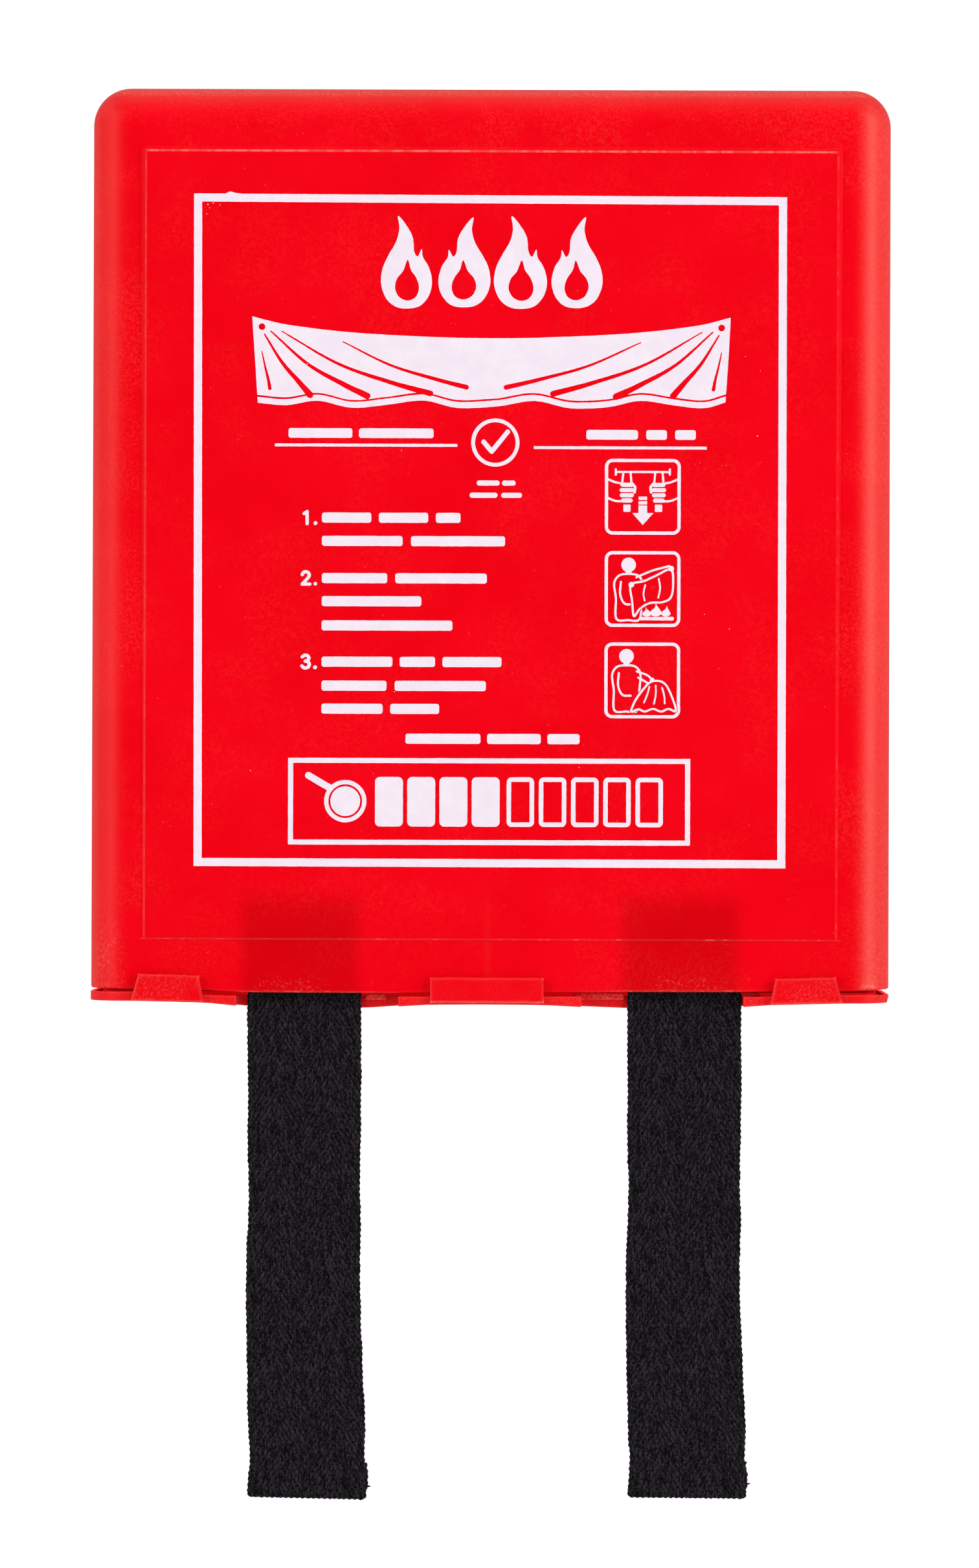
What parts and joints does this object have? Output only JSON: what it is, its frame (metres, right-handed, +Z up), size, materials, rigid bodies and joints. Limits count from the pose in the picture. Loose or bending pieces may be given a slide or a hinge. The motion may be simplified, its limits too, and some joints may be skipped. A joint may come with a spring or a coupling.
{
  "type": "wall-hung fire blanket",
  "caption": "Fire blanket folded in a flat red moulded wall case, with black pull tapes hanging through a drop-open bottom flap.",
  "frame": {"origin": "on the wall face and the centre line of the case, 100 mm above the shell's bottom edge, which is within half a millimetre of half way up the shell", "axes": "+X to the right of someone facing the case, +Y into the wall, +Z up; the printed front faces -Y"},
  "size_m": [0.1782, 0.0362, 0.3134],
  "materials": {
    "red_plastic": "satin moulded polypropylene, slightly translucent, fine grain",
    "white_ink": "screen-printed pad ink on the front panel",
    "glass_cloth": "plain-woven glass fibre, loom state",
    "black_tape": "herringbone twill tape",
    "black_thread": "spun sewing thread"
  },
  "bodies": {
    "case": {"front_shell": "red_plastic", "back_panel": "red_plastic"},
    "flap": {"bottom_flap": "red_plastic"},
    "left_tab": {"left_latch_tab": "red_plastic"},
    "centre_tab": {"centre_latch_tab": "red_plastic"},
    "right_tab": {"right_latch_tab": "red_plastic"},
    "blanket": {"folded_blanket": "glass_cloth", "left_tape_root": "black_tape", "right_tape_root": "black_tape", "left_box_stitch": "black_thread", "right_box_stitch": "black_thread"},
    "left_tape": {"left_pull_tape": "black_tape", "left_hem_stitch": "black_thread"},
    "right_tape": {"right_pull_tape": "black_tape", "right_hem_stitch": "black_thread"}
  },
  "joints": [
    {"name": "blanket_pull", "type": "slide", "parent": "case", "child": "blanket", "axis": [0, 0, -1], "range_m": [0, 0.215], "deforming": ["folded_blanket"]},
    {"name": "flap_hinge", "type": "hinge", "parent": "case", "child": "flap", "pos_m": [0, -0.0022, -0.1014], "axis": [1, 0, 0], "range_deg": [0, 90]},
    {"name": "left_tab_flex", "type": "hinge", "parent": "flap", "child": "left_tab", "pos_m": [-0.071, -0.0352, -0.1026], "axis": [1, 0, 0], "range_deg": [0, 90]},
    {"name": "centre_tab_flex", "type": "hinge", "parent": "flap", "child": "centre_tab", "pos_m": [0, -0.0352, -0.1026], "axis": [1, 0, 0], "range_deg": [0, 90]},
    {"name": "right_tab_flex", "type": "hinge", "parent": "flap", "child": "right_tab", "pos_m": [0.071, -0.0352, -0.1026], "axis": [1, 0, 0], "range_deg": [0, 90]},
    {"name": "left_tape_swing", "type": "hinge", "parent": "blanket", "child": "left_tape", "pos_m": [-0.0421, -0.031, -0.1042], "axis": [-1, 0, 0], "range_deg": [-15, 90]},
    {"name": "right_tape_swing", "type": "hinge", "parent": "blanket", "child": "right_tape", "pos_m": [0.0421, -0.031, -0.1042], "axis": [-1, 0, 0], "range_deg": [-15, 90]}
  ],
  "couplings": [
    {"joint": "flap_hinge", "follows": "blanket_pull", "rad_per_m": 7.306}
  ]
}
